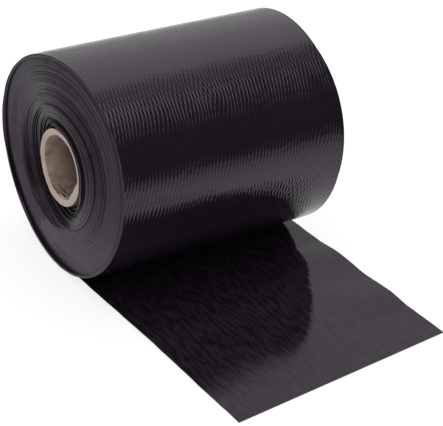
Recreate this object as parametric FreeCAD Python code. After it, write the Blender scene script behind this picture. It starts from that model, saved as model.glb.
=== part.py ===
import FreeCAD, Part
import math
import os

# A roll of damp proof course: one length of black polyethylene film wound on
# a cardboard tube. It lies on its side, and the free end of the film comes
# out from under it and lies flat on the floor.
#
# Frame: millimetres, +Z up. The origin is on the floor, straight below the
# middle of the roll's axis. The axis runs along Y, and the free end runs
# out along +X.

V = FreeCAD.Vector

# The film.
film_width = 165.0
film_thickness = 0.46
roll_diameter = 144.0
tail_length = 181.0         # from below the axis to the square cut
tail_skew = 4.1             # degrees that the free end runs out of square, towards +Y
skew_start = 32.0           # how far back round the roll the film starts to run skew
nip_gap = 0.15              # gap at which the tail counts as parted from the roll

# How the turns stand at the ends. The film has one width all along, so a turn
# that lies deeper at the front end stands out as far at the back end.
outer_turns = 3             # turns at the outside that stand level with the tail
turns_in_band = 10          # turns that slid along the axis together
band_step = 0.7             # how far every second band slid past its neighbours
dish_depth = 5.0            # how far the innermost turns slid
dish_width = 15.0           # from the bore to where the turns are level again

# The cardboard tube.
core_outside_diameter = 50.0
core_wall = 4.0
core_shortfall = 0.5        # how much shorter the tube is than the film, at each end
core_slide = 2.7            # how far the tube has slid out at the front end
core_clearance = 0.3        # between the tube and the innermost turn, all round

roll_radius = roll_diameter / 2
axis_height = roll_radius
front_radius = roll_radius - film_thickness / 2
bore_radius = core_outside_diameter / 2 + core_clearance
front_end = -film_width / 2
back_end = film_width / 2


def about_axis(outline):
    """Turn a closed outline of (radius, y) points about the roll's axis."""
    corners = [V(radius, y, axis_height) for radius, y in outline]
    face = Part.Face(Part.makePolygon(corners + corners[:1]))
    return face.revolve(V(0, 0, axis_height), V(0, 1, 0), 360)


def nip_angle():
    """The angle, from straight down, at which the roll's front leaves the tail."""
    return math.acos(1 - nip_gap / front_radius)


def on_front(angle):
    """A point of the front's arc, at an angle from straight down."""
    out = V(math.sin(angle), 0, -math.cos(angle))
    return V(0, 0, axis_height + film_thickness / 2) + out * front_radius


def side_outline():
    """The roll from the side: a circle with the root of the tail under it.

    The last turn leaves the roll at the floor, goes up the back and over the
    top, and runs in under the front, where the turns stand on the tail.
    """
    floor_point = V(0, 0, 0)
    top_point = V(0, 0, roll_diameter)
    nip = on_front(nip_angle())
    nip_foot = V(nip.x, 0, 0)
    back_arc = Part.Arc(floor_point, V(-roll_radius, 0, axis_height), top_point)
    front_arc = Part.Arc(top_point, on_front((math.pi + nip_angle()) / 2), nip)
    return Part.Wire([
        back_arc.toShape(),
        front_arc.toShape(),
        Part.makeLine(nip, nip_foot),
        Part.makeLine(nip_foot, floor_point),
    ])


def tail():
    """The free end, flat on the floor from below the axis to its cut.

    It is drawn straight, from where it starts to run skew, turned there, and
    cut off square to the roll below the axis, where the roll takes it up.
    """
    length = skew_start + tail_length
    plate = Part.makeBox(length, film_width, film_thickness, V(0, front_end, 0))
    plate.rotate(V(0, 0, 0), V(0, 0, 1), tail_skew)
    plate.translate(V(-skew_start, 0, 0))
    behind = Part.makeBox(length, 3 * film_width, 3 * film_thickness)
    behind.translate(V(-length, -1.5 * film_width, -film_thickness))
    return plate.cut(behind)


def band_edges_and_slides():
    """Each band of turns as (inner radius, outer radius, slide along +Y)."""
    land_radius = roll_radius - outer_turns * film_thickness
    wound_depth = land_radius - bore_radius
    count = max(2, round(wound_depth / (turns_in_band * film_thickness)))
    width = wound_depth / count
    bands = []
    for index in range(count):
        inner = bore_radius + index * width
        dish_share = max(0.0, 1 - index * width / dish_width)
        slide = band_step * (1 + index % 2) + dish_depth * dish_share
        bands.append((inner, inner + width, slide))
    return bands


def stepped_ring(end, base, bands):
    """A ring from the plane y = base to the ends of the bands, at this end."""
    steps = []
    for inner, outer, slide in bands:
        steps.append((inner, end + slide))
        steps.append((outer, end + slide))
    outline = [(bands[0][0], base)] + steps + [(bands[-1][1], base)]
    return about_axis(outline)


def membrane():
    """The wound film with its tail, one solid with a bore for the tube."""
    side = Part.Face(side_outline())
    side.translate(V(0, front_end, 0))
    pack = side.extrude(V(0, film_width, 0)).fuse(tail())
    bands = band_edges_and_slides()
    margin = 1.0
    hollow = stepped_ring(front_end, front_end - margin, bands)
    boss = stepped_ring(back_end, back_end - margin, bands)
    pack = pack.cut(hollow).fuse(boss)
    deepest = max(slide for inner, outer, slide in bands)
    bore_length = film_width + deepest + 2 * margin
    bore_start = V(0, front_end - margin, axis_height)
    bore = Part.makeCylinder(bore_radius, bore_length, bore_start, V(0, 1, 0))
    return pack.cut(bore).removeSplitter()


def core_tube():
    """The cardboard tube that the film was wound on."""
    outside = core_outside_diameter / 2
    inside = outside - core_wall
    front = front_end + core_shortfall - core_slide
    back = back_end - core_shortfall - core_slide
    return about_axis([(inside, front), (outside, front), (outside, back), (inside, back)])


os.makedirs("parts", exist_ok=True)
for name, make in (("membrane", membrane), ("core_tube", core_tube)):
    shape = make()
    solid = shape.Solids[0]
    print(name, len(shape.Solids), "solid", round(solid.Volume), "mm3, valid", solid.isValid())
    solid.exportStep(f"parts/{name}.step")
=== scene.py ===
# %% [markdown]
# # A roll of damp proof course
#
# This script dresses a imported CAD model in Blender. The object is one long
# strip of black, embossed polyethylene film, wound tightly on a cardboard
# tube. Builders lay it in a wall to keep damp from rising, so the roll lies on
# its side with its free end pulled out, ready to be cut.
#
# Everything is in metres. The roll's axis runs along Y, the front end faces
# -Y, and the free end runs out along +X on the floor.

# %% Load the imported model
import math

import bpy
import numpy as np
from mathutils import Matrix, Vector


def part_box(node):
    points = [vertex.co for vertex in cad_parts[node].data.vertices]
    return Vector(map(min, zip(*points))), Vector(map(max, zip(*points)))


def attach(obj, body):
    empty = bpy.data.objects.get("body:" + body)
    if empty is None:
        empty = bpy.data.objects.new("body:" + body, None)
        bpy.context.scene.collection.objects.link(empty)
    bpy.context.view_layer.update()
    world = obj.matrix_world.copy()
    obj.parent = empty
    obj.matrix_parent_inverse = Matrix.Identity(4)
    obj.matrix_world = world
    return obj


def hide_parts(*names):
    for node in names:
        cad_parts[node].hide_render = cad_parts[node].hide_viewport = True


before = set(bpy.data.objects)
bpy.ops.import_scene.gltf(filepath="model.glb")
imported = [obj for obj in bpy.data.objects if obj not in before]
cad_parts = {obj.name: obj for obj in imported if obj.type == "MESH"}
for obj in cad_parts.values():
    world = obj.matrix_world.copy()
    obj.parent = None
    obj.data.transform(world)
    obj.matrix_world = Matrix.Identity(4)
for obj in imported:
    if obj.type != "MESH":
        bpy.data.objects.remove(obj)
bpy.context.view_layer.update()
print("CAD nodes:", sorted(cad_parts))

# %% [markdown]
# ## The sizes that everything shares
#
# The CAD boxes give the roll's radius, the width of the film, and the tube's
# size and place. What no box can tell is written here with the values of the
# CAD model: how thick the film and the tube's wall are, how long the free end
# is, and how far it runs out of square.

# %% Read the sizes that the boxes give
MM = 0.001
film_low, film_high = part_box("membrane")
tube_low, tube_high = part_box("core_tube")
roll_radius = film_high.z / 2
film_width = -2 * film_low.y
tube_outside = tube_high.x
print(f"roll radius {roll_radius:.4f}, film {film_width:.4f} wide")
print(f"tube radius {tube_outside:.4f}, from {tube_low.y:.4f} to {tube_high.y:.4f}")

# %% Write down the other sizes
film_thickness = 0.46 * MM
tube_wall = 4 * MM
free_length = 181 * MM          # from below the axis to the cut end
skew = math.radians(4.1)        # how far the free end runs out of square
skew_start = 32 * MM            # how far back round the roll that starts
print(f"film {film_thickness / MM:.2f} mm thick, free end {free_length / MM:.0f} mm long")

# %% [markdown]
# ## Small helpers for meshes
#
# Most of the pieces are grids of points that bend round the roll, so one
# helper turns a grid into faces. Numpy does the sums for all the points at
# once, which is much faster than adding vertices one by one.
#
# A face's points run anticlockwise as seen from outside. Blender takes the
# outside from that order, and so does every program that reads the mesh.

# %% Step smoothly from 0 to 1
def smooth_step(low, high, value):
    """0 below low, 1 above high, and an even S-curve between them."""
    share = np.clip((value - low) / (high - low), 0, 1)
    return share * share * (3 - 2 * share)


print("smooth step, a quarter of the way:", float(smooth_step(0, 1, 0.25)))

# %% Number the faces between rows of points
OTHER_WAY_ROUND = [0, 3, 2, 1]    # turns a four-cornered face over


def grid_faces(rows, columns, first=0):
    """The four-cornered faces of a grid of rows x columns numbered points."""
    corner = first + np.arange(rows * columns).reshape(rows, columns)
    faces = np.stack([corner[:-1, :-1], corner[:-1, 1:], corner[1:, 1:], corner[1:, :-1]], -1)
    return faces.reshape(-1, 4)


def strip_faces(one_side, other_side):
    """The faces that join two equally long rows of numbered points."""
    one, other = np.asarray(one_side), np.asarray(other_side)
    return np.stack([one[:-1], one[1:], other[1:], other[:-1]], -1)


print("a grid of 3 x 4 points has", len(grid_faces(3, 4)), "faces")


# %% Turn arrays of points into a Blender object
def make_object(name, points, faces, sharp_angle=40):
    """A smooth-shaded mesh object whose creases over sharp_angle stay sharp."""
    mesh = bpy.data.meshes.new(name)
    mesh.from_pydata(points.tolist(), [], [list(map(int, face)) for face in faces])
    mesh.validate()
    mesh.shade_smooth()
    mesh.set_sharp_from_angle(angle=math.radians(sharp_angle))
    piece = bpy.data.objects.new(name, mesh)
    bpy.context.scene.collection.objects.link(piece)
    triangles = sum(len(p.vertices) - 2 for p in mesh.polygons)
    print(f"{name}: {len(mesh.vertices)} points, {triangles} triangles")
    return piece


# %% [markdown]
# ## Where the film's edge stands
#
# The free end was pulled a little out of square, so the last turn doesn't
# lie in one plane: its front edge stands proud at the back and the bottom of
# the roll, and sinks in at the front. A short sum of cosines says by how much
# at each angle round the roll. Angles are counted from +X towards +Z.
#
# A roll that has been handled isn't quite a circle either. This one bulges a
# little at the top.

# %% How far the last turn's front edge stands proud
proud_all_round = 1.6             # millimetres, like the other two
proud_once_round = (-3.9, -0.8)   # times the angle's cosine and sine
proud_twice_round = (-0.1, -1.65)


def last_turn_proud(angle):
    """How far the last turn's front edge stands out of the roll's end."""
    wave = proud_all_round
    for times, (cosine, sine) in ((1, proud_once_round), (2, proud_twice_round)):
        wave = wave + cosine * np.cos(times * angle) + sine * np.sin(times * angle)
    return wave * MM


every_quarter = np.radians([0, 90, 180, 270])
print("front edge proud, in mm:", np.round(last_turn_proud(every_quarter) / MM, 2))

# %% How far the roll is out of round
top_bulge = 1.2 * MM
bulge_angle = math.radians(115)


def out_of_round(angle):
    """How far the top of the roll stands out of a true circle."""
    return top_bulge * np.clip(np.cos(angle - bulge_angle), 0, 1)**2


print("out of round, in mm:", np.round(out_of_round(every_quarter) / MM, 2))

# %% Follow the film's centre line
change_over = 25 * MM     # either side of the roll's back, to the skewed line


def film_centre_line(along):
    """The sideways place of the film's centre line, and the skewed line's share.

    Along is 0 below the axis and negative on the roll.
    """
    turned = along / roll_radius - math.pi / 2
    on_the_roll = -last_turn_proud(turned)
    running_out = (along + skew_start) * math.sin(skew)
    back_of_roll = -math.pi / 2 * roll_radius
    share = smooth_step(back_of_roll - change_over, back_of_roll + change_over, along)
    return on_the_roll + (running_out - on_the_roll) * share, share


print(f"the cut end lies {film_centre_line(free_length)[0] / MM:.1f} mm to the side")

# %% [markdown]
# ## How the free end lies
#
# Thick film that has been wound up never lies dead flat. It leaves the roll
# level, rises in a low hump, and comes down again before its end. The far
# edge is a little wavy. The hump is a few millimetres high at most, but it
# bends the mirror image of the roll that shows in the film's gloss.

# %% Height of the free end above the floor
hump_height = 2.4 * MM
hump_rise = (12 * MM, 100 * MM)
hump_fall = (108 * MM, 172 * MM)
hump_middle, hump_spread = -0.28, 0.5    # across the film, in half widths
wave_height, wave_length = 0.8 * MM, 52 * MM
first_wave = 80 * MM
wave_start = (30 * MM, 60 * MM)
wave_stop = (free_length, 150 * MM)
ripple_height, ripple_size = 0.06 * MM, 17 * MM
ripple_start = (20 * MM, 60 * MM)


def free_end_lift(along, across):
    """How high the film lies above the floor, along and across the film."""
    side = across / (film_width / 2)
    hump_share = 0.35 + 0.5 * np.exp(-((side - hump_middle) / hump_spread)**2)
    rise, fall = smooth_step(*hump_rise, along), smooth_step(*hump_fall, along)
    hump = hump_height * rise * (1 - fall) * hump_share
    far = smooth_step(0.45, 1.0, side)
    waves = wave_height * far * np.cos(2 * math.pi * (along - first_wave) / wave_length)
    waves = waves * smooth_step(*wave_start, along) * smooth_step(*wave_stop, along)
    ripple = ripple_height * np.sin(along / ripple_size + 2.2 * side)
    ripple = ripple * smooth_step(*ripple_start, along)
    return np.maximum(0, hump + waves + ripple)


middle_line = free_end_lift(np.linspace(0, free_length, 91), 0)
print(f"down its middle the free end rises to {middle_line.max() / MM:.2f} mm")

# %% [markdown]
# ## The embossing
#
# The outer face of the film is rolled with a fine pattern of long diamonds,
# which lets mortar key to it. Two families of low ridges cross at a small
# angle to the film's length and give just that. Real embossing wanders a
# little, so each family drifts by a slow, seeded sum of waves.
#
# The ridges are real geometry. A mesh fine enough for their narrow tops would
# be too heavy, so a bump sharpens them later. It has to fall on the same
# lines, and for that the mesh will carry a second UV map: not a place on the
# film but how far each point lies between one ridge and the next.

# %% A field that wanders slowly
def slow_drift(along, across, seed, size):
    """A smooth field that wanders by about size over a few centimetres."""
    draw = np.random.default_rng(seed)
    field = 0.0
    for _ in range(9):
        wavelength = draw.uniform(14, 55) * MM
        heading, phase = draw.uniform(0, 2 * math.pi, 2)
        stretch = 0.55 * math.cos(heading) * along + math.sin(heading) * across
        field = field + np.sin(2 * math.pi * stretch / wavelength + phase)
    return field * size / 3


print("drift at the middle of the film:", round(float(slow_drift(0, 0, 11, 1)), 3))

# %% Lines and relief of the embossed face
ridge_spacing = 2.63 * MM       # across the film
ridge_run = 10.6 * MM           # along the film
emboss_height = 0.12 * MM
ridge_drift = 2.2               # radians
rising_seed, falling_seed, depth_seed = 11, 12, 13


def ridge_phases(along, across):
    """Where each point lies between the ridges of both families, in radians."""
    ridge = 2 * math.pi * across / ridge_spacing
    climb = 2 * math.pi * along / ridge_run
    rising = ridge - climb + slow_drift(along, across, rising_seed, ridge_drift)
    falling = ridge + climb + slow_drift(along, across, falling_seed, ridge_drift)
    return rising, falling


def emboss_relief(along, across):
    """How far the outer face is pressed in: about 0 on a crest.

    The rising family is the stronger one, and the depth varies slowly.
    """
    rising, falling = ridge_phases(along, across)
    depth = 0.75 + 0.25 * slow_drift(along, across, depth_seed, 1.0)
    ridges = 1.2 * np.cos(rising) + 0.8 * np.cos(falling)
    return emboss_height * (0.5 - 0.25 * np.clip(depth, 0.4, 1) * ridges)


print(f"{film_width / ridge_spacing:.0f} ridges of each family side by side")

# %% [markdown]
# ## The last turn and the free end
#
# They are one sheet, so they are one mesh. It has an outer face, a smooth inner
# face, two long edges and two cut ends. It is worked out flat first, as film
# coordinates along and across, and then wrapped: what lies before the axis
# goes round the roll, and what lies beyond it stays on the floor.

# %% Wrap flat film round the roll
edge_bend = 0.35 * MM       # how far an edge that stands proud bends in
edge_bend_width = 9 * MM
edge_bend_full = 3 * MM     # an edge this far proud bends in all the way
roll_taper = 0.3 * MM       # how much smaller the roll is at its front
bend_fade = -40 * MM        # the last of the roll, over which all that fades


def wrap_film(along, across, depth):
    """Points of the film, at a depth below its outer face.

    On the roll the back edge stays in its plane and only the front one
    wanders. The front edge, proud of what it is wound on, bends in a little.
    """
    centre, share = film_centre_line(along)
    half = film_width / 2
    back_share = (1 - share) * (across / film_width + 0.5)
    sideways = centre * (1 - back_share) + across * (1 + share * (math.cos(skew) - 1))
    flat_along = along - share * across * math.sin(skew)
    turned = np.minimum(flat_along, 0) / roll_radius
    angle = turned - math.pi / 2
    proud = smooth_step(0, edge_bend_full, last_turn_proud(angle))
    bent_in = edge_bend * proud * smooth_step(-half + edge_bend_width, -half, across)
    bent_in = bent_in + roll_taper * (0.5 - across / film_width)
    bent_in = bent_in - out_of_round(angle)
    bent_in = bent_in * smooth_step(0, bend_fade, flat_along)
    radius = roll_radius + film_thickness * turned / (2 * math.pi) - depth - bent_in
    lift = np.where(flat_along > 0, free_end_lift(along, across), 0)
    x = radius * np.sin(turned) + np.maximum(flat_along, 0)
    z = roll_radius - radius * np.cos(turned) + lift
    return np.stack([x, sideways + 0 * x, z], -1)


over_the_top = wrap_film(np.array([[-math.pi * roll_radius]]), np.zeros((1, 1)), 0)[0, 0]
print(f"the film crosses the top {over_the_top[2] / MM:.1f} mm above the floor")

# %% Waver of a slit edge
waver_height = 0.06 * MM
waver_lengths = (140, 71, 37, 19)    # millimetres
waver_seed = 7


def edge_waver(along):
    """The small waver of a slit edge, the same on every run."""
    draw = np.random.default_rng(waver_seed)
    waver = np.zeros_like(along)
    for length in waver_lengths:
        waver += waver_height * np.sin(2 * math.pi * along / (length * MM) + draw.uniform(0, 6.28))
    return waver


print(f"each edge wavers by up to {waver_height * len(waver_lengths) / MM:.2f} mm")

# %% Close the film into a solid sheet
OUTER_FACE, INNER_FACE, SLIT_EDGE = 0, 1, 2    # places in the sheet's list of finishes


def film_faces(rows, fine_columns, coarse_columns):
    """The faces of the film as a closed sheet, and the finish of each."""
    first_inner = rows * fine_columns
    outer = np.arange(first_inner).reshape(rows, fine_columns)
    inner = first_inner + np.arange(rows * coarse_columns).reshape(rows, coarse_columns)
    groups = [
        grid_faces(rows, fine_columns),
        grid_faces(rows, coarse_columns, first_inner)[:, ::-1],
        strip_faces(outer[:, 0], inner[:, 0]),
        strip_faces(outer[:, -1], inner[:, -1])[:, OTHER_WAY_ROUND],
    ]
    counts = [len(group) for group in groups]
    finishes = np.repeat((OUTER_FACE, INNER_FACE, SLIT_EDGE, SLIT_EDGE), counts)
    faces = [list(face) for group in groups for face in group]
    start = list(outer[0]) + list(inner[0][::-1])
    cut_end = list(outer[-1]) + list(inner[-1][::-1])
    faces += [start[::-1], cut_end]
    return faces, np.append(finishes, (SLIT_EDGE, SLIT_EDGE))


print("a sheet of 3 rows, 5 points wide outside and 2 inside, has",
      len(film_faces(3, 5, 2)[0]), "faces")


# %% Keep the flat film's coordinates on the mesh
def save_flat_maps(sheet, along, across):
    """Two UV maps: each point's place on the flat film, and its ridge phases."""
    corner = np.zeros(len(sheet.data.loops), np.int32)
    sheet.data.loops.foreach_get("vertex_index", corner)
    flat = np.stack([along, across], -1)
    phases = np.stack(ridge_phases(along, across), -1)
    for name, values in (("film", flat), ("ridges", phases)):
        uv_map = sheet.data.uv_layers.new(name=name)
        uv_map.data.foreach_set("uv", values[corner].astype(np.float32).ravel())
    print("UV maps:", [uv_map.name for uv_map in sheet.data.uv_layers])


# %% Build the last turn
sheet_rows = 262
outer_columns, inner_columns = 321, 41    # only the outer face has fine ridges


def film_sheet(name):
    """The film from one turn before the axis to its cut end, as one mesh."""
    along = np.linspace(-2 * math.pi * roll_radius, free_length, sheet_rows)[:, None]
    waver = edge_waver(along)
    half = film_width / 2
    outer_across = np.linspace(-half, half, outer_columns)[None, :] + waver
    inner_across = np.linspace(-half, half, inner_columns)[None, :] + waver
    relief = emboss_relief(along, outer_across)
    points, flat_along, flat_across = [], [], []
    for across, depth in ((outer_across, relief), (inner_across, film_thickness)):
        points.append(wrap_film(along, across, depth).reshape(-1, 3))
        flat_along.append(np.broadcast_to(along, across.shape).ravel())
        flat_across.append(across.ravel())
    faces, finishes = film_faces(sheet_rows, outer_columns, inner_columns)
    sheet = make_object(name, np.concatenate(points), faces)
    sheet.data.polygons.foreach_set("material_index", finishes.astype(np.int32))
    save_flat_maps(sheet, np.concatenate(flat_along), np.concatenate(flat_across))
    return sheet


last_turn = film_sheet("last_turn_and_free_end")

# %% [markdown]
# ## The wound turns
#
# Inside the last turn lie about ninety more. Only their edges show, on the
# roll's ends, and they are the best sign that this is wound film and not a
# solid bar. They are modelled as what they are, one long spiral: each step of it
# has a groove, an inner edge and an outer edge, at both ends of the roll.
#
# The turns don't end in one plane. They have slid along the tube into a
# low crest and a dish round the core, and the innermost few have come loose.

# %% Where each turn lies
loose_gaps = np.array([0.75, 0.35, 0.95, 0.3, 0.6, 0.25, 0.4, 0.15]) * MM
innermost_radius = tube_outside + 0.55 * MM
outermost_radius = roll_radius - film_thickness - 0.02 * MM
least_gap = 0.008 * MM
open_turn, open_gap = 22, 0.3 * MM    # one gap stands open
closed_up_from = 45                   # and the turns from here on make up for it
room = outermost_radius - innermost_radius - loose_gaps.sum()
turns = int(room / (film_thickness + least_gap))
gaps = np.full(turns, (room - turns * film_thickness) / turns)
gaps[:len(loose_gaps)] += loose_gaps
gaps[open_turn] += open_gap
gaps[closed_up_from:] -= open_gap / (turns - closed_up_from)
inner_edge = innermost_radius + np.concatenate([[0], np.cumsum(gaps + film_thickness)])
wound_length = 2 * math.pi * (inner_edge[:-1] + film_thickness / 2).sum()
print(f"{turns} turns, {wound_length:.1f} m of film wound on the tube")
print(f"gaps from {gaps.min() / MM:.4f} to {gaps.max() / MM:.2f} mm")

# %% How far each turn strays from its neighbours
stray_turns = {3: 0.9, 5: -0.6, 22: 0.8, 34: 0.2, 47: -0.15, 66: 0.15}    # millimetres
draw = np.random.default_rng(20)
turn_jitter = draw.normal(0, 0.09, turns + 2) * MM
wander = np.cumsum(draw.normal(0, 0.07, turns + 2))
wander = (wander - np.convolve(wander, np.ones(15) / 15, "same")) * MM
loose_jitter = draw.normal(0, 0.75, turns + 2) * MM
turn_proud = turn_jitter + 0.5 * wander
for number, stray in stray_turns.items():
    turn_proud[number] += stray * MM
print(f"turns stray by up to {abs(turn_proud).max() / MM:.2f} mm")

# %% The shape of the roll's end
rim_run = 22        # the crest falls away to the rim over this many millimetres
dish_edge = 25.5    # the dish is deepest at this radius, next to the tube


def end_shape(r, angle):
    """How far the roll's end stands proud, and its crest's radius, in mm.

    The crest, the rim and the dish round the core all change round the roll:
    the dish is deepest at the lower left and gone at the upper right.
    """
    across, upward = np.cos(angle), np.sin(angle)
    crest_radius = 40 - 9 * across - 4 * upward
    crest = 2.4 - 0.8 * across
    rim = last_turn_proud(angle) / MM - (1.2 - 1.3 * across - 1.2 * upward)
    core = np.minimum(2.6, -2.2 + 5.2 * across + 4.8 * upward)
    outward = smooth_step(crest_radius, crest_radius + rim_run, r)
    inward = np.clip((crest_radius - r) / (crest_radius - dish_edge), 0, 1)
    shape = crest + (rim - crest) * outward
    return shape + (core - crest) * inward, crest_radius


for degrees in (45, 225):
    shape, _ = end_shape(dish_edge, math.radians(degrees))
    print(f"at {degrees} degrees the innermost turns stand {shape:.1f} mm proud")


# %% Add each turn's own stray
def between_turns(values, turn):
    """The value at a place that may lie between two turns."""
    low = np.clip(np.floor(turn).astype(int), 0, turns)
    part = turn - low
    return values[low] * (1 - part) + values[low + 1] * part


def end_proud(radius, angle, turn, rim_proud):
    """How far the end of the wound turns stands out of the film's own plane."""
    r = radius / MM
    shape, crest_radius = end_shape(r, angle)
    shape = shape * MM
    under_last_turn = smooth_step(roll_radius / MM - 2.3, roll_radius / MM - 1.7, r)
    shape = shape + (rim_proud - shape) * under_last_turn
    own = between_turns(turn_proud, turn)
    own = own * (1 + 0.6 * np.sin(angle + 0.9 * np.sin(turn / 6.0)))
    inside_crest = 1 - smooth_step(crest_radius - 8, crest_radius + 3, r)
    loose = inside_crest * (0.5 - 0.5 * np.cos(angle - 0.4))
    return shape + (own + between_turns(loose_jitter, turn) * loose)


third_turn = end_proud(inner_edge[3], every_quarter, np.full(4, 3.0), 0)
print("the third turn stands proud, in mm:", np.round(third_turn / MM, 1))

# %% Lay the spiral's points
steps_per_turn = 144
spiral_count = steps_per_turn * turns + 1
groove_per_gap = 7                      # a groove's depth, in widths of its gap
groove_least, groove_most = 0.12 * MM, 5.5 * MM
bevel = 0.05 * MM
edge_slant = 0.04 * MM


def spiral_points():
    """Rows of points: groove, inner edge and outer edge, in front and behind."""
    turn = np.arange(spiral_count) / steps_per_turn
    low = np.minimum(turn.astype(int), turns - 1)
    part = turn - low
    radius_in = inner_edge[low] * (1 - part) + inner_edge[low + 1] * part
    angle = 2 * math.pi * turn - math.pi / 2
    gap = gaps[np.maximum(low - 1, 0)]
    lean = edge_slant * np.cos(angle)
    rows = (
        (radius_in - gap / 2, np.clip(gap * groove_per_gap, groove_least, groove_most)),
        (radius_in + bevel, np.maximum(-2 * lean, 0)),
        (radius_in + film_thickness - bevel, np.maximum(lean, 0)),
    )
    front, back = [], []
    for radius, depth in rows:
        bend = (edge_bend + roll_taper) * smooth_step(50 * MM, roll_radius, radius)
        swell = out_of_round(angle) * (radius / roll_radius)**4
        for ends, side, drawn_in, rim in ((front, -1, bend, last_turn_proud(angle)),
                                          (back, 1, 0, 0 * angle)):
            proud = end_proud(radius_in + film_thickness / 2, angle, turn, rim)
            x = (radius - drawn_in + swell) * np.cos(angle)
            z = roll_radius + (radius - drawn_in + swell) * np.sin(angle)
            ends.append(np.stack([x, side * (film_width / 2 - depth) - proud, z], -1))
    return np.concatenate(front + back)


print(f"{spiral_count} points along the spiral, one every {360 / steps_per_turn} degrees")

# %% Close the spiral
TURN_EDGE, GROOVE = 0, 1    # places in the spiral's list of finishes


def spiral_faces():
    """The faces of the closed spiral, and the finish of each.

    Both ends are strips between the rows. A wall along the tube and one
    under the last turn join them.
    """
    total = spiral_count
    groove, edge_in, edge_out = (np.arange(total) + row * total for row in range(3))
    strips = [
        strip_faces(groove, edge_in),
        strip_faces(edge_in, edge_out),
        strip_faces(edge_out[:total - steps_per_turn], groove[steps_per_turn:]),
    ]
    front = np.concatenate(strips)
    back = front[:, ::-1] + 3 * total
    last_lap = edge_out[total - 1 - steps_per_turn:]
    bore_loop = np.concatenate([groove[:steps_per_turn + 1],
                                [edge_out[0], edge_in[0], groove[0]]])
    rim_loop = np.concatenate([last_lap, [edge_in[-1], groove[-1], last_lap[0]]])
    walls = [strip_faces(bore_loop, bore_loop + 3 * total)[:, ::-1],
             strip_faces(rim_loop, rim_loop + 3 * total)]
    faces = np.concatenate([front, back] + walls)[:, OTHER_WAY_ROUND]
    counts = [len(strip) for strip in strips]
    one_end = np.repeat((GROOVE, TURN_EDGE, GROOVE), counts)
    in_walls = np.full(sum(len(wall) for wall in walls), GROOVE)
    return faces, np.concatenate([one_end, one_end, in_walls])


print(f"{len(spiral_faces()[0])} faces close the spiral")


# %% Build the wound turns
def spiral_of_turns(name):
    """All the wound turns but the last, as one closed spiral mesh."""
    faces, finishes = spiral_faces()
    spiral = make_object(name, spiral_points(), faces, 55)
    spiral.data.polygons.foreach_set("material_index", finishes.astype(np.int32))
    return spiral


wound_turns = spiral_of_turns("wound_turns")

# %% [markdown]
# ## The cardboard tube
#
# The tube is wound from strips of grey-brown board, glued in a spiral. Inside
# it the strips leave a narrow seam that climbs round the bore. Its cut ends
# are pale and fuzzy, and the front one has had a knock that crushed the wall
# inward, low on its right side. Low in the bore the inmost ply has come
# unstuck and left a few short slits, whose insides are painted near black as shade.
#
# Rings of points along the tube make its walls. The knock and the slits move
# the rings' points, and the rings are close together where the slits are.

# %% Rings and their places
around = 240
ring_angle = np.linspace(0, 2 * math.pi, around, endpoint=False)
tube_inside = tube_outside - tube_wall
tube_mm = (tube_high.y - tube_low.y) / MM
bore_rows = np.concatenate([
    np.arange(0, 9.6, 0.4), [10, 11, 12.5],
    np.linspace(15, tube_mm - 6, 32), [tube_mm - 3, tube_mm - 1, tube_mm],
])
outer_rows = np.array([tube_mm, tube_mm - 1.2, tube_mm - 20, 60, 20, 6, 1.2, 0])
wall_shares = np.array([0.2, 0.45, 0.7])    # rings on a cut end, from bore to outside
print(f"{len(bore_rows)} rings in the bore, the first ones 0.4 mm apart")

# %% The knock at the front end
dent_depth = 2.3 * MM
dent_angle, dent_spread = math.radians(334), 0.40
dent_reach = 7    # millimetres along the tube


def dent(radius, distance):
    """How far the front end is crushed inward, most of all in the bore."""
    off = np.angle(np.exp(1j * (ring_angle - dent_angle)))
    where = np.exp(-(off / dent_spread)**4)
    inner_share = (tube_outside - radius) / tube_wall
    return dent_depth * where * inner_share * np.exp(-(distance / dent_reach)**2)


print(f"deepest dent {dent(tube_inside, 0).max() / MM:.1f} mm")

# %% The slits in the bore
# Each slit's middle and half length in degrees, its place along the tube in
# millimetres, and how far it climbs from its middle to its end.
slits = ((268, 26, 7.2, 0.8), (274, 22, 4.4, -0.5), (252, 10, 2.4, 0.3))
slit_depth = 3.0 * MM
slit_half_width = 0.55
slit_floor = 1.2 * MM    # deeper than this, a face counts as inside a slit


def ply_slits(distance):
    """How deep the slits are, this many millimetres in from the front end."""
    total = 0
    for middle, spread, place, climb in slits:
        off = (np.degrees(ring_angle) - middle) / spread
        window = np.clip(1 - off**2, 0, 1)
        total = total + window * np.exp(-((distance - place - climb * off) / slit_half_width)**4)
    return slit_depth * np.clip(total, 0, 1)


print(f"{len(slits)} slits, the deepest {ply_slits(slits[0][2]).max() / MM:.1f} mm")

# %% One ring of the tube
end_wave = sum(height * np.sin(count * ring_angle + phase) for height, count, phase in
               ((0.20, 2, 0.4), (0.13, 5, 2.0), (0.09, 11, 1.1), (0.06, 23, 0.3)))
frayed = sum(np.sin(count * ring_angle + phase) for count, phase in ((13, 2), (29, 0), (47, 1)))
seam_depth, seam_width = 0.35 * MM, 0.045
seam_climb = 88    # millimetres along the tube for each time round


def tube_ring(radius, distance, fuzz=0.0):
    """Points of a ring at a radius, so many millimetres in from the front end."""
    share = np.exp(-distance / 4) - np.exp(-(tube_mm - distance) / 4)
    y = tube_low.y + (distance + share * (0.25 + end_wave * 0.8) + fuzz) * MM
    r = radius + 0.12 * MM * np.exp(-distance / 5) * np.sin(3 * ring_angle + 1)
    r = r - dent(radius, distance)
    if radius < tube_outside - 0.1 * MM:
        seam = 2 * math.pi * distance / seam_climb + 4.1
        off = np.angle(np.exp(1j * (ring_angle - seam)))
        r = r + seam_depth * np.exp(-(off / seam_width)**2)
        r = r + 0.08 * MM * math.exp(-distance / 2) * frayed
    if radius == tube_inside:
        r = r + ply_slits(distance)
    return np.stack([r * np.cos(ring_angle), y, roll_radius + r * np.sin(ring_angle)], -1)


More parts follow.
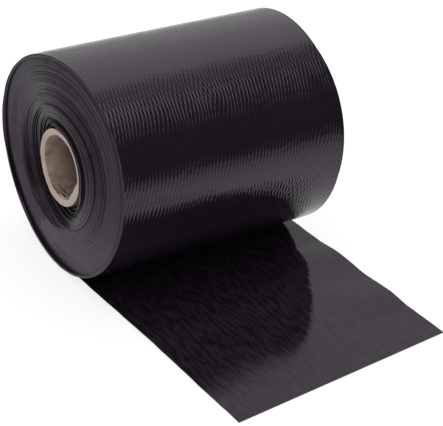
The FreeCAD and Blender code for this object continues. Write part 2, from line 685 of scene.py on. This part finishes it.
print(f"the front edge wanders by {0.8 * np.ptp(end_wave):.2f} mm")

# %% Lay the rings in order
fuzz_spread = 0.10       # millimetres
rounded_edge = 0.9       # millimetres, at the bore's front edge
end_seed = 5


def tube_rings():
    """The rings in order: bore, back end, outside and front end."""
    draw_end = np.random.default_rng(end_seed)
    rings = [tube_ring(tube_inside, row, rounded_edge * math.exp(-row / 1.5))
             for row in bore_rows]
    for share in wall_shares:
        fuzz = draw_end.normal(0, fuzz_spread, around)
        rings.append(tube_ring(tube_inside + tube_wall * share, tube_mm, fuzz))
    rings += [tube_ring(tube_outside - 0.02 * MM, row) for row in outer_rows]
    for share in wall_shares[::-1]:
        fuzz = rounded_edge * (1 - share)**2 + draw_end.normal(0, fuzz_spread, around)
        rings.append(tube_ring(tube_inside + tube_wall * share, 0, fuzz))
    return rings


# %% Build the tube
# The last finish is painted shade, for the faces inside the slits.
BORE, CUT_END, OUTSIDE, SLIT_SHADE = 0, 1, 2, 3    # places in the tube's list of finishes


def board_tube(name):
    """The core as a closed loop of rings."""
    rings = tube_rings()
    count = len(rings)
    number = np.arange(count * around).reshape(count, around)
    number = np.concatenate([number, number[:1]])
    number = np.concatenate([number, number[:, :1]], 1)
    faces = np.stack([number[:-1, :-1], number[:-1, 1:], number[1:, 1:], number[1:, :-1]], -1)
    tube = make_object(name, np.concatenate(rings), faces.reshape(-1, 4), 50)
    back_end = len(bore_rows)
    outside = back_end + len(wall_shares)
    front_end = outside + len(outer_rows)
    finishes = np.full((count, around), BORE, np.int32)
    finishes[back_end - 1:outside] = CUT_END
    finishes[outside:front_end - 1] = OUTSIDE
    finishes[front_end - 1:] = CUT_END
    # Faces inside a slit get the near-black finish, painted shade for the slit's hollow.
    for row, middle in enumerate((bore_rows[1:] + bore_rows[:-1]) / 2):
        finishes[row][ply_slits(middle) > slit_floor] = SLIT_SHADE
    tube.data.polygons.foreach_set("material_index", finishes.ravel())
    print("faces in the slits:", int((finishes == SLIT_SHADE).sum()))
    return tube


core = board_tube("core_board")

# %% [markdown]
# ## Materials: a small kit of node helpers
#
# Each finish is a Principled shader with a few noises for colour, roughness
# and bump. These helpers add a node and link it in one line, so that each
# recipe below reads like a list of what the real surface has. The first few
# work in any tree of nodes, and the studio's light uses them again.

# %% Helpers for any tree of nodes
class NodeKit:
    """Short-hand for adding and linking nodes in one tree."""

    def __init__(self, tree):
        self.tree = tree

    def node(self, kind, values=None, **settings):
        """A new node. A value is a number, a colour, or another node's output."""
        made = self.tree.nodes.new(kind)
        for key, value in settings.items():
            setattr(made, key, value)
        for key, value in (values or {}).items():
            if hasattr(value, "links"):
                self.tree.links.new(value, made.inputs[key])
            else:
                made.inputs[key].default_value = value
        return made

    def sums(self, operation, first, second=0.0, third=0.0):
        """One step of arithmetic."""
        values = {0: first, 1: second, 2: third}
        return self.node("ShaderNodeMath", values, operation=operation).outputs[0]

    def vector(self, operation, first, second=(0, 0, 0)):
        """One step of arithmetic on vectors."""
        return self.node("ShaderNodeVectorMath", {0: first, 1: second}, operation=operation)

    def split(self, value):
        """The three parts of a vector."""
        return self.node("ShaderNodeSeparateXYZ", {0: value}).outputs

    def ramp(self, value, low, high, bottom, top, **settings):
        """Maps low..high to bottom..top."""
        values = {0: value, 1: low, 2: high, 3: bottom, 4: top}
        return self.node("ShaderNodeMapRange", values, **settings).outputs[0]


# %% Helpers for a finish
class Finish(NodeKit):
    """A material under construction, with its shader."""

    def __init__(self, name, ior=1.5):
        self.material = bpy.data.materials.new(name)
        self.material.use_nodes = True
        super().__init__(self.material.node_tree)
        self.shader = self.tree.nodes["Principled BSDF"]
        self.shader.inputs["IOR"].default_value = ior
        print("finish:", name)

    def place(self, kind="Object", stretch=(1, 1, 1), turn=(0, 0, 0)):
        """Coordinates of the surface, stretched and turned."""
        source = self.node("ShaderNodeTexCoord").outputs[kind]
        values = {"Vector": source, "Scale": stretch, "Rotation": turn}
        return self.node("ShaderNodeMapping", values).outputs[0]

    def noise(self, where, scale, detail=3.0, roughness=0.5):
        """Soft cloudy values between 0 and 1."""
        values = {"Vector": where, "Scale": scale, "Detail": detail, "Roughness": roughness}
        return self.node("ShaderNodeTexNoise", values).outputs[0]

    def colour(self, value, dark, light):
        """A colour between two others."""
        made = self.node("ShaderNodeMix", data_type="RGBA")
        self.tree.links.new(value, made.inputs[0])
        made.inputs[6].default_value = (*dark, 1)
        made.inputs[7].default_value = (*light, 1)
        return made.outputs[2]

    def bump(self, height, distance, under=None):
        """A bump, in metres, over another one."""
        values = {"Height": height, "Distance": distance}
        if under is not None:
            values["Normal"] = under
        return self.node("ShaderNodeBump", values).outputs[0]

    def wire(self, **inputs):
        """Joins values to the shader's sockets, named with _ for a space."""
        for key, value in inputs.items():
            socket = self.shader.inputs[key.replace("_", " ")]
            if hasattr(value, "links"):
                self.tree.links.new(value, socket)
            else:
                socket.default_value = value
        return self.material


# %% [markdown]
# ## Film, outer face
#
# Black polyethylene is nearly as dark as soot, so almost all that shows is
# its gloss. The gloss is even but not perfect: fine grain from the embossing
# roller, some haze, and thin scuffs along the film from being wound.
#
# The ridges are already there as geometry. Here the second UV map brings back
# their phases, and a cosine raised to a power gives each one a narrow top.

# %% Embossed face
FILM_SHEEN = (0.97, 0.83, 1.0, 1.0)    # the film's gloss is a little purple
ridge_bump = 0.10 * MM
ridge_sharpness = 3.0
falling_share = 0.7     # the falling family is the weaker one


def embossed_film():
    """Black film with its ridges, grain, fibre and scuffs."""
    f = Finish("embossed_black_film")
    cloud = f.noise(f.place("UV"), 14, 3)
    grain = f.noise(f.place("UV", (1, 2.6, 1)), 900, 3)
    fibre = f.noise(f.place("UV", (0.09, 1, 1)), 1300, 2)
    scuff = f.noise(f.place("UV", (0.03, 1, 1)), 420, 4, 0.7)
    scuffed = f.ramp(scuff, 0.62, 0.72, 0.0, 1.0)
    haze = f.sums("MULTIPLY_ADD", cloud, 0.07, 0.07)
    rough = f.sums("MULTIPLY_ADD", scuffed, 0.06, haze)
    crests = []
    for phase in f.split(f.node("ShaderNodeUVMap", uv_map="ridges").outputs[0])[:2]:
        crest = f.sums("MULTIPLY_ADD", f.sums("COSINE", phase), 0.5, 0.5)
        crests.append(f.sums("POWER", crest, ridge_sharpness))
    rising, falling = crests
    ridges = f.sums("MAXIMUM", rising, f.sums("MULTIPLY", falling, falling_share))
    height = f.sums("MULTIPLY", ridges, f.ramp(cloud, 0.3, 0.7, 0.45, 1.3))
    normal = f.bump(height, ridge_bump)
    normal = f.bump(grain, 0.012 * MM, under=normal)
    normal = f.bump(fibre, 0.010 * MM, under=normal)
    normal = f.bump(scuffed, 0.006 * MM, under=normal)
    streaks = f.ramp(fibre, 0.35, 0.65, 0.0, 1.0)
    dust = f.sums("MULTIPLY_ADD", streaks, 0.5, f.sums("MULTIPLY", cloud, 0.5))
    tone = f.colour(dust, (0.0105, 0.0070, 0.0120), (0.0210, 0.0150, 0.0235))
    return f.wire(Base_Color=tone, Roughness=rough, Normal=normal, Specular_Tint=FILM_SHEEN)


outer_finish = embossed_film()

# %% [markdown]
# ## Film, inner face
#
# The other face ran over a plain roller, so it is smoother and mirrors what
# stands on it. The diamonds only ghost through as faint slanting dashes.

# %% Smooth face
dash_slant = math.radians(17)


def smooth_film():
    """Black film that mirrors, with faint slanting dashes."""
    f = Finish("smooth_black_film")
    flat = f.place("UV")
    cloud = f.noise(flat, 18, 3)
    ghost = f.noise(f.place("UV", (0.24, 1, 1), (0, 0, dash_slant)), 420, 1.5)
    grain = f.noise(flat, 1100, 2)
    rough = f.sums("MULTIPLY_ADD", cloud, 0.06, 0.06)
    normal = f.bump(ghost, 0.05 * MM)
    normal = f.bump(grain, 0.014 * MM, under=normal)
    speckle = f.sums("MULTIPLY", f.ramp(grain, 0.36, 0.64, 0.0, 1.0), 0.5)
    dust = f.sums("MULTIPLY_ADD", f.ramp(ghost, 0.38, 0.62, 0.0, 1.0), 0.5, speckle)
    tone = f.colour(dust, (0.0040, 0.0024, 0.0050), (0.0275, 0.0200, 0.0300))
    return f.wire(Base_Color=tone, Roughness=rough, Normal=normal, Specular_Tint=FILM_SHEEN,
                  Specular_IOR_Level=0.30)


inner_finish = smooth_film()

# %% [markdown]
# ## Film, slit edges
#
# Where the film was slit its edge is dull and greyer. On the roll's end these
# edges lie side by side, so the finish follows the radius: fine rings, each a
# little lighter or darker, with soft dusty patches over them.

# %% Slit edges
def slit_edges():
    """Dull grey-black edges, in rings about the roll's axis."""
    f = Finish("slit_film_edges")
    spot = f.place("Object")
    across, _, up = f.split(spot)
    high = f.sums("SUBTRACT", up, roll_radius)
    square = f.sums("ADD", f.sums("MULTIPLY", across, across), f.sums("MULTIPLY", high, high))
    ring_place = f.node("ShaderNodeCombineXYZ", {0: f.sums("SQRT", square)}).outputs[0]
    fine = f.noise(ring_place, 1500, 2)
    broad = f.noise(ring_place, 260, 3)
    dust = f.noise(spot, 150, 4, 0.7)
    rings = f.sums("MULTIPLY_ADD", fine, 0.45, f.sums("MULTIPLY", broad, 0.55))
    shade = f.sums("MULTIPLY_ADD", dust, 0.5, f.sums("MULTIPLY", rings, 0.6))
    lightness = f.ramp(shade, 0.40, 0.70, 0.0, 1.0)
    tone = f.colour(lightness, (0.019, 0.0145, 0.0210), (0.050, 0.0395, 0.0550))
    rough = f.sums("MULTIPLY_ADD", rings, 0.2, 0.32)
    normal = f.bump(fine, 0.05 * MM)
    normal = f.bump(dust, 0.05 * MM, under=normal)
    return f.wire(Base_Color=tone, Roughness=rough, Normal=normal, Specular_Tint=FILM_SHEEN)


edge_finish = slit_edges()

# %% [markdown]
# ## Board
#
# Four finishes for the tube: the smooth liner in the bore, the pale torn
# fibres of a cut end, the plain outside that the film grips, and a near-black
# finish for the inside of a slit, which is painted shade. The liner's colour
# carries painted shade too: it is pale near both ends of the tube and darkens
# towards the middle of the bore.

# %% Board finishes
# Painted shade in the bore: nearer the tube's middle than the first distance the liner is fully
# shaded, and beyond the second it is not shaded at all.
bore_shade_from, bore_shade_to = 0.057, 0.084    # metres from the tube's middle


def board(name, dark, light, fibre_scale, fuzz, rough_low, bore_shade_level=1.0):
    """Grey-brown board, with painted shade towards the middle of the bore. The last argument is how
    pale the middle of the tube stays under that painted shade.
    """
    f = Finish(name, 1.45)
    spot = f.place("Object")
    fibre = f.noise(f.place("Object", (1, 0.25, 1)), fibre_scale, 4, 0.6)
    blotch = f.noise(spot, 60, 3)
    speck = f.noise(spot, 1400, 2)
    mixed = f.sums("MULTIPLY_ADD", fibre, 0.5, f.sums("MULTIPLY", blotch, 0.5))
    from_middle = f.sums("ABSOLUTE", f.split(spot)[1])
    # Painted shade: the colour darkens towards the middle of the bore.
    painted_bore_shade = f.ramp(from_middle, bore_shade_from, bore_shade_to, bore_shade_level, 1.0)
    tone = f.colour(f.sums("MULTIPLY", f.ramp(mixed, 0.3, 0.7, 0.0, 1.0), painted_bore_shade), dark, light)
    rough = f.sums("MULTIPLY_ADD", speck, 0.15, rough_low)
    normal = f.bump(fibre, fuzz)
    normal = f.bump(speck, fuzz * 0.5, under=normal)
    return f.wire(Base_Color=tone, Roughness=rough, Normal=normal)


board_finishes = [
    # The bore liner is darkened strongly by painted shade in the middle of the bore.
    board("bore_liner", (0.17, 0.115, 0.090), (0.95, 0.75, 0.62), 420, 0.05 * MM, 0.6, bore_shade_level=0.15),
    board("torn_board", (0.46, 0.370, 0.315), (0.72, 0.610, 0.530), 700, 0.15 * MM, 0.75),
    board("tube_outside", (0.20, 0.14, 0.09), (0.32, 0.24, 0.16), 420, 0.05 * MM, 0.6),
    # Painted shade: the inside of a slit is board painted near black as its shade.
    board("painted_slit_shade", (0.020, 0.013, 0.010), (0.060, 0.042, 0.032), 420, 0.05 * MM, 0.8),
]

# %% Put the finishes on the pieces
for piece, finishes in ((last_turn, (outer_finish, inner_finish, edge_finish)),
                        (wound_turns, (edge_finish, inner_finish)),
                        (core, board_finishes)):
    for finish in finishes:
        piece.data.materials.append(finish)
    print(piece.name, "has", [finish.name for finish in finishes])

# %% [markdown]
# ## Riding on the CAD
#
# The visual pieces stand for the CAD solids, which are hidden, and ride on the
# one body.

# %% Tie the pieces to the imported model
for piece, node, finish_slot in ((last_turn, "membrane", "film"), (wound_turns, "membrane", "film"),
                                 (core, "core_tube", "cardboard")):
    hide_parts(node)
    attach(piece, "root")
    print(f"{piece.name} stands for {node}")

# %% [markdown]
# ## Floor
#
# A white sweep of a floor. To the camera and in reflections it glows a little,
# so it reads as white, yet it is still a lit surface and keeps the shadow.
#
# The film's gloss mirrors the floor. A real studio's floor darkens away from
# the object and towards the unlit front, so in reflections, and only there,
# the glow fades with distance and on the front side.

# %% Make the floor
FLOOR_GLOW = 0.78
FADE_FAR = (0.30, 1.3, 0.0, 0.48)            # metres away, and how much glow goes
FADE_FRONT = (-0.128, -0.178, 0.0, 0.66)     # the same, towards the front
FRONT_LEAN = -0.3                            # the front fade's slant


def studio_floor():
    """A wide flat floor."""
    half = 6.0
    points = np.array([[-half, -half, 0], [half, -half, 0], [half, half, 0], [-half, half, 0]])
    floor = make_object("studio_floor", points, [[0, 1, 2, 3]])
    f = Finish("white_floor")
    f.tree.nodes.remove(f.shader)
    plain = f.node("ShaderNodeBsdfDiffuse", {"Color": (0.8, 0.8, 0.8, 1)})
    shown = f.node("ShaderNodeBsdfDiffuse", {"Color": (0.30, 0.30, 0.30, 1)})
    spot = f.node("ShaderNodeTexCoord").outputs["Object"]
    path = f.node("ShaderNodeLightPath").outputs
    away = f.vector("LENGTH", spot).outputs["Value"]
    x, y, _ = f.split(spot)
    leaning = f.sums("MULTIPLY_ADD", x, FRONT_LEAN, y)
    dimmed = f.sums("MAXIMUM", f.ramp(away, *FADE_FAR), f.ramp(leaning, *FADE_FRONT))
    dimmed = f.sums("MULTIPLY", dimmed, path["Is Glossy Ray"])
    strength = f.sums("SUBTRACT", FLOOR_GLOW, dimmed)
    glow = f.node("ShaderNodeEmission", {"Color": (1, 1, 1, 1), "Strength": strength})
    seen = f.node("ShaderNodeAddShader", {0: shown.outputs[0], 1: glow.outputs[0]})
    either = f.sums("MAXIMUM", path["Is Camera Ray"], path["Is Glossy Ray"])
    either = f.sums("MAXIMUM", either, path["Is Transmission Ray"])
    mix = f.node("ShaderNodeMixShader", {0: either, 1: plain.outputs[0], 2: seen.outputs[0]})
    f.tree.links.new(mix.outputs[0], f.tree.nodes["Material Output"].inputs[0])
    floor.data.materials.append(f.material)


studio_floor()

# %% [markdown]
# ## Light
#
# Black gloss shows its surroundings more than its own colour, so the studio
# matters as much as the material. White paper hangs behind the roll and above
# it, a small softbox hangs above the free end, and the side towards the
# viewer's right is left dark. That gives a bright top, a dark flank and the
# fine streaks where the embossing catches the edge of the overhead paper. Only
# reflections see that studio: everything else gets an even fill and two large
# soft lamps, and the camera sees plain white.

# %% Name the parts of the studio
def level_direction(degrees):
    """A level direction, counted from +X towards +Y."""
    return (math.cos(math.radians(degrees)), math.sin(math.radians(degrees)), 0)


BEHIND = level_direction(146)
VIEWER = level_direction(-80)
SOFTBOX = Vector((0.45, 0.03, 0.89)).normalized()
OVERHEAD_EDGE = (0.80, 0.87)      # from none to full, as the view turns up
BACKDROP_EDGE = (0.64, 0.88)      # as the view turns to the backdrop
VIEWER_EDGE = (0.2, 0.9)
SOFTBOX_EDGE = (0.93, 0.975)
BACKDROP_FOOT, BACKDROP_CLIMB, BACKDROP_CURVE = 0.58, 0.78, 0.72
SOFTBOX_LIGHT = 1.3
ROOM_LIGHT = 0.04
DARK_SIDE = 0.025
FILL_LIGHT = 0.55
print("backdrop towards", [round(x, 2) for x in BEHIND])


# %% Make the surroundings
def surroundings():
    """The studio as a world: what reflections, the camera and the rest see."""
    world = bpy.data.worlds.new("studio")
    bpy.context.scene.world = world
    world.use_nodes = True
    world.node_tree.nodes.clear()
    kit = NodeKit(world.node_tree)

    def soft(value, edge):
        return kit.ramp(value, *edge, 0.0, 1.0, interpolation_type="SMOOTHSTEP")

    def facing(direction, target):
        return kit.vector("DOT_PRODUCT", direction, target).outputs["Value"]

    toward = kit.node("ShaderNodeTexCoord").outputs["Generated"]
    up = kit.split(toward)[2]
    level = kit.vector("MULTIPLY", toward, (1, 1, 0)).outputs[0]
    level = kit.vector("NORMALIZE", level).outputs[0]
    climb = kit.sums("POWER", kit.sums("MAXIMUM", up, 0.0), BACKDROP_CURVE)
    climb = kit.sums("MULTIPLY_ADD", climb, BACKDROP_CLIMB, BACKDROP_FOOT)
    backdrop = kit.sums("MULTIPLY", soft(facing(level, BEHIND), BACKDROP_EDGE), climb)
    room_light = kit.sums("MULTIPLY", soft(facing(level, VIEWER), VIEWER_EDGE), ROOM_LIGHT)
    paper = kit.sums("MAXIMUM", soft(up, OVERHEAD_EDGE), backdrop)
    paper = kit.sums("MAXIMUM", paper, room_light)
    paper = kit.sums("MAXIMUM", paper, DARK_SIDE)
    box = soft(facing(toward, SOFTBOX), SOFTBOX_EDGE)
    paper = kit.sums("MULTIPLY_ADD", box, SOFTBOX_LIGHT, paper)
    path = kit.node("ShaderNodeLightPath").outputs
    mirrored = kit.sums("MAXIMUM", path["Is Glossy Ray"], path["Is Transmission Ray"])
    light = kit.node("ShaderNodeMix", {0: mirrored, 2: FILL_LIGHT, 3: paper}).outputs[0]
    strength = kit.node("ShaderNodeMix", {0: path["Is Camera Ray"], 2: light, 3: 1.0}).outputs[0]
    sky = kit.node("ShaderNodeBackground", {"Color": (1, 1, 1, 1), "Strength": strength})
    kit.node("ShaderNodeOutputWorld", {0: sky.outputs[0]})
    print("studio:", len(world.node_tree.nodes), "nodes")


surroundings()


# %% Hang the lamps
def soft_lamp(name, place, aim, size, power):
    """A square soft lamp that lights but doesn't show."""
    light = bpy.data.lights.new(name, "AREA")
    light.shape = "SQUARE"
    light.size = size
    light.energy = power
    lamp = bpy.data.objects.new(name, light)
    lamp.location = place
    lamp.rotation_euler = (Vector(aim) - Vector(place)).to_track_quat("-Z", "Y").to_euler()
    lamp.visible_glossy = False
    lamp.visible_camera = False
    bpy.context.scene.collection.objects.link(lamp)
    print(f"{name}: {power} W, {size} m wide")


soft_lamp("overhead_lamp", (-0.3, 0.2, 1.5), (0, 0, 0), 1.3, 10.5)
soft_lamp("left_lamp", (-1.4, -0.5, 0.7), (0, 0, 0.05), 1.0, 4.0)

# %% [markdown]
# ## Camera
#
# The camera stands to the right of the roll's front end and looks down at
# about a third of a right angle, with a long lens, so that the far end of the
# roll is hardly smaller than the near one.

# %% Place the camera
CAMERA_YAW, CAMERA_PITCH, CAMERA_ROLL = -53.15, 32.14, 6.07    # degrees
CAMERA_PLACE = (9.665, -6.622, 6.630)    # in roll radii, from the axis' middle
CAMERA_LENS, CAMERA_SENSOR = 120.7, 36.0


def viewpoint():
    """The camera, turned about its own line of sight by its roll."""
    yaw, pitch, roll = (math.radians(a) for a in (CAMERA_YAW, CAMERA_PITCH, CAMERA_ROLL))
    forward = Vector((math.cos(pitch) * math.sin(yaw), math.cos(pitch) * math.cos(yaw),
                      -math.sin(pitch)))
    right = Vector((math.cos(yaw), -math.sin(yaw), 0))
    up = right.cross(forward)
    turned_right = right * math.cos(roll) + up * math.sin(roll)
    turned_up = -right * math.sin(roll) + up * math.cos(roll)
    place = Vector(CAMERA_PLACE) * roll_radius + Vector((0, 0, roll_radius))
    camera = bpy.data.cameras.new("viewpoint")
    camera.sensor_width = CAMERA_SENSOR
    camera.lens = CAMERA_LENS
    holder = bpy.data.objects.new("viewpoint", camera)
    axes = Matrix((turned_right, turned_up, -forward)).transposed()
    holder.matrix_world = Matrix.Translation(place) @ axes.to_4x4()
    bpy.context.scene.collection.objects.link(holder)
    bpy.context.scene.camera = holder
    print("camera at", [round(x, 3) for x in place])


viewpoint()
bpy.context.scene.view_settings.view_transform = "Standard"
